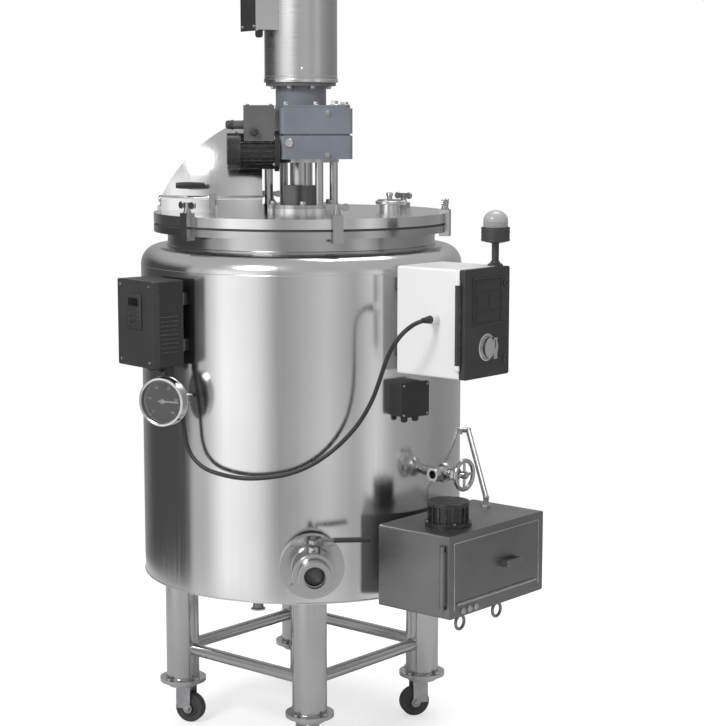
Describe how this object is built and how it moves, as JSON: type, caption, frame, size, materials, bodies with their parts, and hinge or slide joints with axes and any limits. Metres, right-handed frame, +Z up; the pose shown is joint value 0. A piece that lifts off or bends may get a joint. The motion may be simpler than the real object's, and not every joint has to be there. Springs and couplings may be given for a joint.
{
  "type": "jacketed mixing tank",
  "caption": "Insulated jacketed mixing tank on casters, with domed side hatch, coaxial agitator drive on the lid, control boxes and bottom side outlet valve",
  "frame": {"origin": "on the floor, on the axis of the vessel", "axes": "+Z up, -Y the side with the product outlet, +X to the right of someone who faces the outlet"},
  "size_m": [1.0732, 1.0369, 2.022],
  "materials": {
    "mirror_steel": "polished stainless steel",
    "brushed_steel": "brushed stainless steel",
    "dull_steel": "dull brushed stainless steel",
    "bright_panel": "bright satin stainless steel",
    "wool": "mineral wool",
    "gasket_rubber": "black gasket rubber",
    "silicone": "white silicone seal",
    "gear_paint": "blue-grey enamel, semi-gloss",
    "grey_paint": "grey enamel",
    "black_paint": "black enamel, semi-gloss",
    "motor_steel": "satin stainless motor cover",
    "black_plastic": "black moulded plastic",
    "grey_plastic": "dark grey moulded plastic",
    "panel_black": "charcoal powder coat",
    "screen_glass": "black glossy screen",
    "lens": "frosted clear lens",
    "ptfe": "white scraper plastic",
    "bronze": "bronze bush",
    "tread": "dark caster tread",
    "zinc": "zinc-plated steel",
    "cable_jacket": "black cable jacket",
    "needle": "black needle"
  },
  "bodies": {
    "tank": {"inner_vessel": "brushed_steel", "jacket_shell": "dull_steel", "insulation": "wool", "cladding": "mirror_steel", "vessel_flange": "brushed_steel", "lid_gasket": "gasket_rubber", "fixed_lid": "mirror_steel", "lid_clamps": "brushed_steel", "hatch_gasket": "silicone", "hatch_hinge": "brushed_steel", "port_cap": "brushed_steel", "lantern": "brushed_steel", "shaft_seal": "grey_paint", "gearbox_housing": "gear_paint", "gearbox_cover": "gear_paint", "main_motor": "grey_paint", "main_motor_cover": "motor_steel", "main_terminal_box": "brushed_steel", "side_motor": "black_paint", "side_motor_cowl": "black_paint", "side_terminal_box": "grey_paint", "bottom_bush": "bronze", "cabinet_body": "bright_panel", "box_brackets": "dull_steel", "signal_lamp": "grey_plastic", "lamp_dome": "lens", "inverter_body": "black_plastic", "inverter_cover": "grey_plastic", "thermometer_case": "brushed_steel", "service_box": "dull_steel", "pump_motor": "black_paint", "conduit": "zinc", "junction_box": "black_plastic", "leg_frame": "brushed_steel", "outlet_valve_body": "brushed_steel", "jacket_valve_body": "brushed_steel", "control_cable": "cable_jacket"},
    "hatch": {"hatch_lid": "mirror_steel", "hatch_handle": "black_plastic"},
    "latch": {"hatch_latch": "brushed_steel"},
    "anchor": {"anchor_frame": "brushed_steel", "anchor_scrapers": "ptfe"},
    "mixer": {"mixer_shaft": "brushed_steel", "main_motor_fan": "black_plastic"},
    "side_fan": {"side_motor_fan": "grey_plastic"},
    "door": {"cabinet_door": "panel_black", "cabinet_screen": "screen_glass"},
    "knob": {"switch_knob": "mirror_steel"},
    "lower_door": {"service_door": "dull_steel"},
    "pointer": {"thermometer_pointer": "needle"},
    "outlet_lever": {"outlet_valve_handle": "grey_paint"},
    "handwheel": {"jacket_handwheel": "brushed_steel"},
    "fork_1": {"caster_fork_1": "zinc"},
    "wheel_1": {"caster_wheel_1": "tread"},
    "fork_2": {"caster_fork_2": "zinc"},
    "wheel_2": {"caster_wheel_2": "tread"},
    "fork_3": {"caster_fork_3": "zinc"},
    "wheel_3": {"caster_wheel_3": "tread"},
    "fork_4": {"caster_fork_4": "zinc"},
    "wheel_4": {"caster_wheel_4": "tread"}
  },
  "joints": [
    {"name": "hatch_swing", "type": "hinge", "parent": "tank", "child": "hatch", "pos_m": [-0.27011, 0.27011, 1.433], "axis": [-0.7071, -0.7071, 0], "range_deg": [0, 95]},
    {"name": "latch_swing", "type": "hinge", "parent": "tank", "child": "latch", "pos_m": [-0.236, -0.04421, 1.402], "axis": [1, 0, 0], "range_deg": [0, 75]},
    {"name": "anchor_spin", "type": "hinge", "parent": "tank", "child": "anchor", "pos_m": [0, 0, 1.3], "axis": [0, 0, 1], "continuous": true},
    {"name": "mixer_spin", "type": "hinge", "parent": "tank", "child": "mixer", "pos_m": [0, 0, 1.3], "axis": [0, 0, 1], "continuous": true},
    {"name": "side_fan_spin", "type": "hinge", "parent": "tank", "child": "side_fan", "pos_m": [-0.18, -0.095, 1.55], "axis": [1, 0, 0], "continuous": true},
    {"name": "door_swing", "type": "hinge", "parent": "tank", "child": "door", "pos_m": [0.3445, -0.54673, 1.144], "axis": [0, 0, -1], "range_deg": [0, 110]},
    {"name": "knob_turn", "type": "hinge", "parent": "door", "child": "knob", "pos_m": [0.42073, -0.48437, 1.084], "axis": [0.7071, -0.7071, 0], "range_deg": [0, 90]},
    {"name": "lower_door_swing", "type": "hinge", "parent": "tank", "child": "lower_door", "pos_m": [0.3042, -0.60542, 0.54], "axis": [0, 0, -1], "range_deg": [0, 110]},
    {"name": "pointer_turn", "type": "hinge", "parent": "tank", "child": "pointer", "pos_m": [-0.35471, -0.33077, 0.938], "axis": [-0.4695, -0.8829, 0], "range_deg": [-45, 225]},
    {"name": "outlet_turn", "type": "hinge", "parent": "tank", "child": "outlet_lever", "pos_m": [0, -0.5113, 0.539], "axis": [0, 0, 1], "range_deg": [-90, 0]},
    {"name": "handwheel_turn", "type": "hinge", "parent": "tank", "child": "handwheel", "pos_m": [0.37265, -0.37265, 0.748], "axis": [0.7071, -0.7071, 0], "range_deg": [0, 1080]},
    {"name": "swivel_1", "type": "hinge", "parent": "tank", "child": "fork_1", "pos_m": [0.328, 0, 0.1], "axis": [0, 0, 1], "continuous": true},
    {"name": "roll_1", "type": "hinge", "parent": "fork_1", "child": "wheel_1", "pos_m": [0.30633, -0.00382, 0.04], "axis": [-0.1736, 0.9848, 0], "continuous": true},
    {"name": "swivel_2", "type": "hinge", "parent": "tank", "child": "fork_2", "pos_m": [0, 0.328, 0.1], "axis": [0, 0, 1], "continuous": true},
    {"name": "roll_2", "type": "hinge", "parent": "fork_2", "child": "wheel_2", "pos_m": [0.01905, 0.317, 0.04], "axis": [-0.5, -0.866, 0], "continuous": true},
    {"name": "swivel_3", "type": "hinge", "parent": "tank", "child": "fork_3", "pos_m": [-0.328, 0, 0.1], "axis": [0, 0, 1], "continuous": true},
    {"name": "roll_3", "type": "hinge", "parent": "fork_3", "child": "wheel_3", "pos_m": [-0.30806, -0.0093, 0.04], "axis": [-0.4226, -0.9063, 0], "continuous": true},
    {"name": "swivel_4", "type": "hinge", "parent": "tank", "child": "fork_4", "pos_m": [0, -0.328, 0.1], "axis": [0, 0, 1], "continuous": true},
    {"name": "roll_4", "type": "hinge", "parent": "fork_4", "child": "wheel_4", "pos_m": [-0.01414, -0.34485, 0.04], "axis": [-0.766, 0.6428, 0], "continuous": true}
  ],
  "couplings": [
    {"joint": "side_fan_spin", "follows": "anchor_spin", "ratio": 20}
  ]
}
